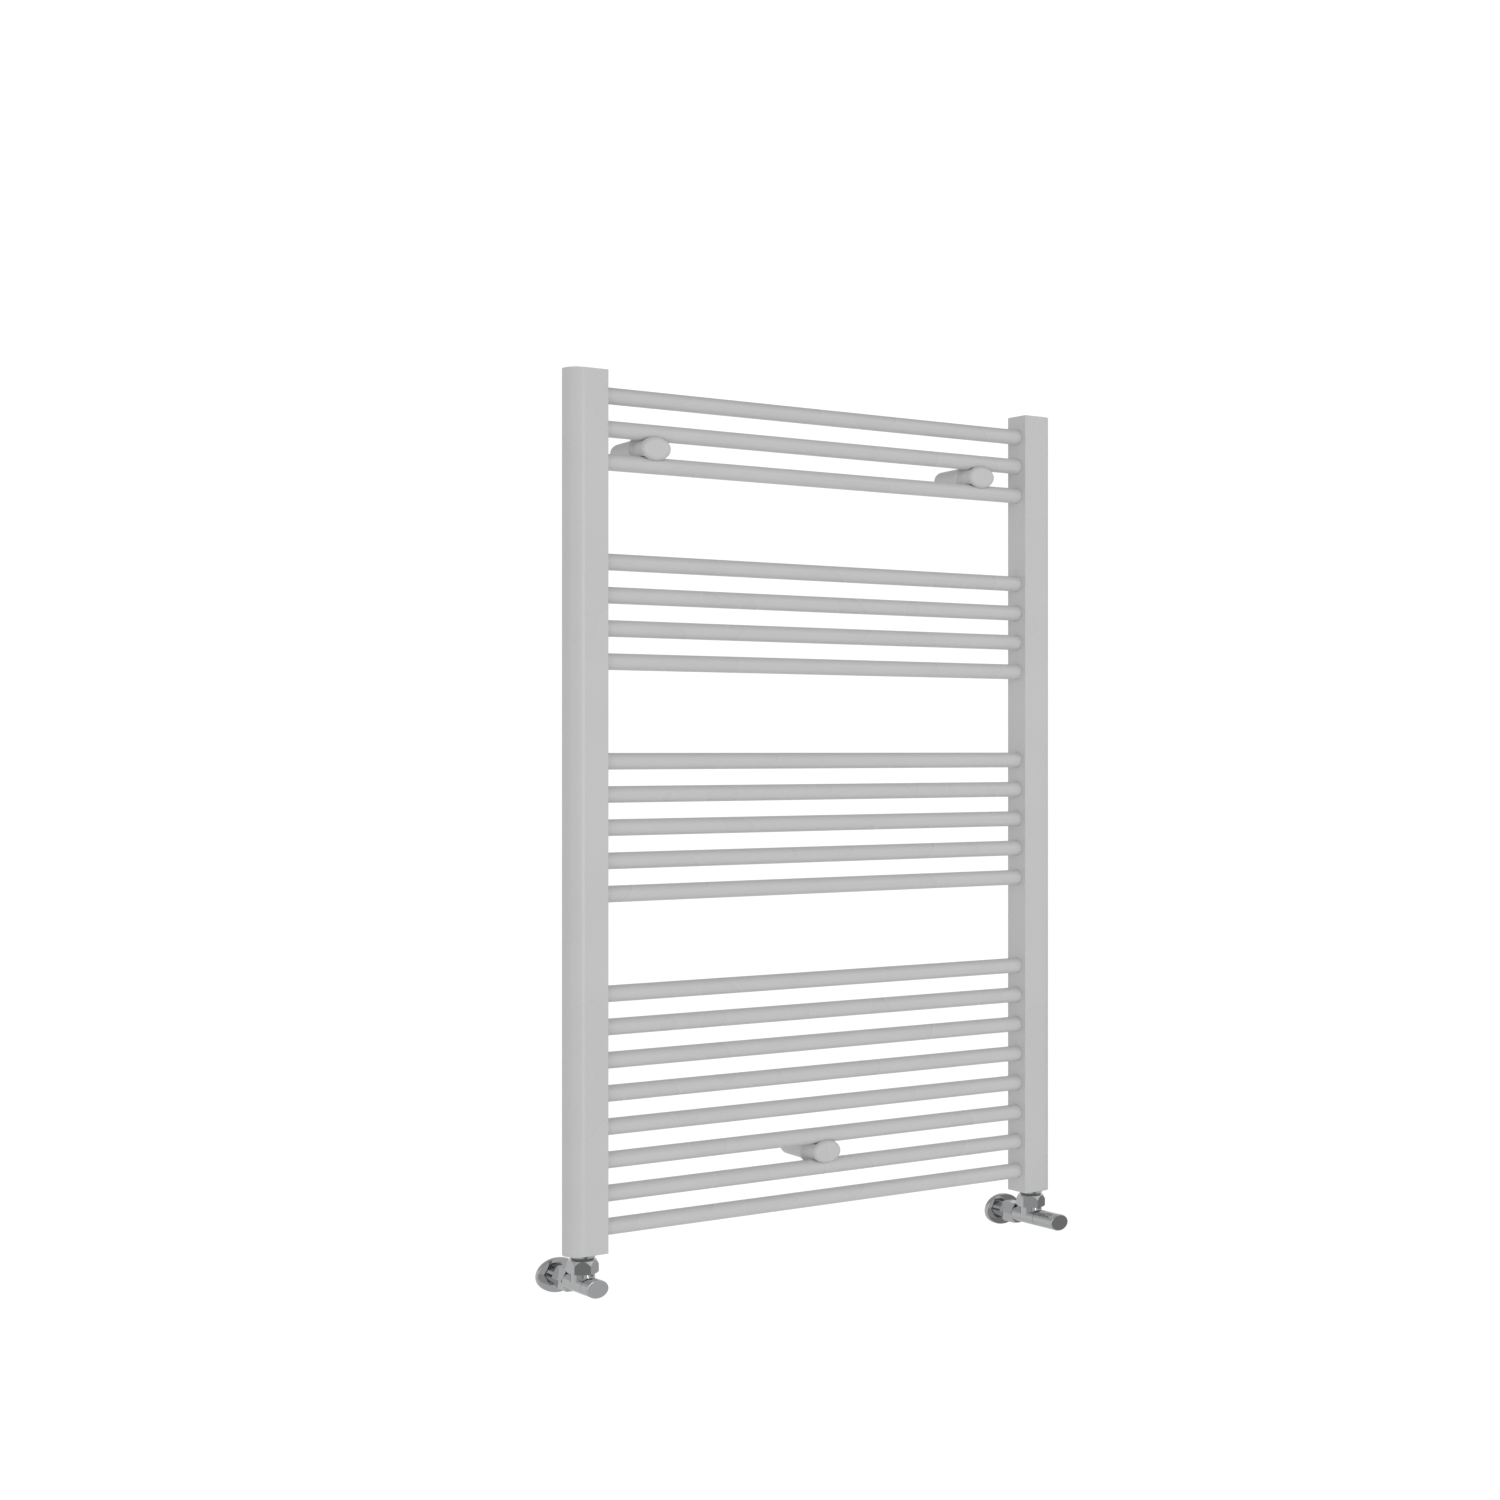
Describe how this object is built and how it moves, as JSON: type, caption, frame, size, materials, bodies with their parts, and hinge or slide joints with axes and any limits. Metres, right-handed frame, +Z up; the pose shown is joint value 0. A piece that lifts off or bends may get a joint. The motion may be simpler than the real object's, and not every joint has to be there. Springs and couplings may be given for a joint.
{
  "type": "ladder towel radiator with angled valves",
  "caption": "Wall-hung ladder towel radiator: round bars in groups between D-section posts, wall brackets behind, and chrome angled valves with a hand wheel and a lockshield cap.",
  "frame": {"origin": "centre of the lower bracket's foot on the wall's face, at the mouth of its stud hole", "axes": "+Z up, +Y into the wall, +X to the right seen from the room"},
  "size_m": [0.8378, 0.136, 1.2112],
  "materials": {
    "painted_steel": "satin powder coat",
    "chrome": "polished plate",
    "brass": "turned",
    "zinc_steel": "zinc plated",
    "seal_rubber": "moulded"
  },
  "bodies": {
    "radiator": {"bar_01": "painted_steel", "bar_02": "painted_steel", "bar_03": "painted_steel", "bar_04": "painted_steel", "bar_05": "painted_steel", "bar_06": "painted_steel", "bar_07": "painted_steel", "bar_08": "painted_steel", "bar_09": "painted_steel", "bar_10": "painted_steel", "bar_11": "painted_steel", "bar_12": "painted_steel", "bar_13": "painted_steel", "bar_14": "painted_steel", "bar_15": "painted_steel", "bar_16": "painted_steel", "bar_17": "painted_steel", "bar_18": "painted_steel", "bar_19": "painted_steel", "bar_20": "painted_steel", "blanking_plug": "chrome", "bracket_clamp_screws": "zinc_steel", "bracket_grub_screws": "zinc_steel", "compression_rings": "brass", "left_bracket_cap": "painted_steel", "left_bracket_saddle": "painted_steel", "left_bracket_stand": "painted_steel", "left_compression_nut": "chrome", "left_head_gear": "brass", "left_post": "painted_steel", "left_post_boss": "painted_steel", "left_post_cover": "painted_steel", "left_rosette": "chrome", "left_union_nut": "chrome", "left_union_tail": "chrome", "left_valve_body": "chrome", "lower_bracket_cap": "painted_steel", "lower_bracket_saddle": "painted_steel", "lower_bracket_stand": "painted_steel", "right_bracket_cap": "painted_steel", "right_bracket_saddle": "painted_steel", "right_bracket_stand": "painted_steel", "right_compression_nut": "chrome", "right_head_gear": "brass", "right_post": "painted_steel", "right_post_boss": "painted_steel", "right_post_cover": "painted_steel", "right_rosette": "chrome", "right_union_nut": "chrome", "right_union_tail": "chrome", "right_valve_body": "chrome", "tail_collars": "chrome", "vent_plug": "chrome"},
    "hand_wheel": {"hand_wheel": "chrome", "right_spindle": "brass"},
    "right_plug": {"right_valve_plug": "seal_rubber"},
    "lockshield_cap": {"lockshield_cap": "chrome"},
    "lockshield_spindle": {"left_spindle": "brass"},
    "left_plug": {"left_valve_plug": "seal_rubber"},
    "bleed_screw": {"bleed_screw": "brass"}
  },
  "joints": [
    {"name": "hand_wheel_turn", "type": "hinge", "parent": "radiator", "child": "hand_wheel", "pos_m": [0.3867, -0.136, -0.13545], "axis": [0, -1, 0], "range_deg": [0, 900]},
    {"name": "right_plug_lift", "type": "slide", "parent": "radiator", "child": "right_plug", "axis": [0, -1, 0], "range_m": [0, 0.0035]},
    {"name": "lockshield_cap_pull", "type": "slide", "parent": "radiator", "child": "lockshield_cap", "axis": [0, -1, 0], "range_m": [0, 0.03]},
    {"name": "lockshield_turn", "type": "hinge", "parent": "radiator", "child": "lockshield_spindle", "pos_m": [-0.3867, -0.1055, -0.13545], "axis": [0, -1, 0], "range_deg": [0, 900]},
    {"name": "left_plug_lift", "type": "slide", "parent": "radiator", "child": "left_plug", "axis": [0, -1, 0], "range_m": [0, 0.0035]},
    {"name": "bleed_turn", "type": "hinge", "parent": "radiator", "child": "bleed_screw", "pos_m": [-0.3766, -0.0527, 1.03325], "axis": [0, 1, 0], "range_deg": [0, 360]}
  ],
  "couplings": [
    {"joint": "right_plug_lift", "follows": "hand_wheel_turn", "m_per_rad": 0.00022282},
    {"joint": "left_plug_lift", "follows": "lockshield_turn", "m_per_rad": 0.00022282}
  ]
}
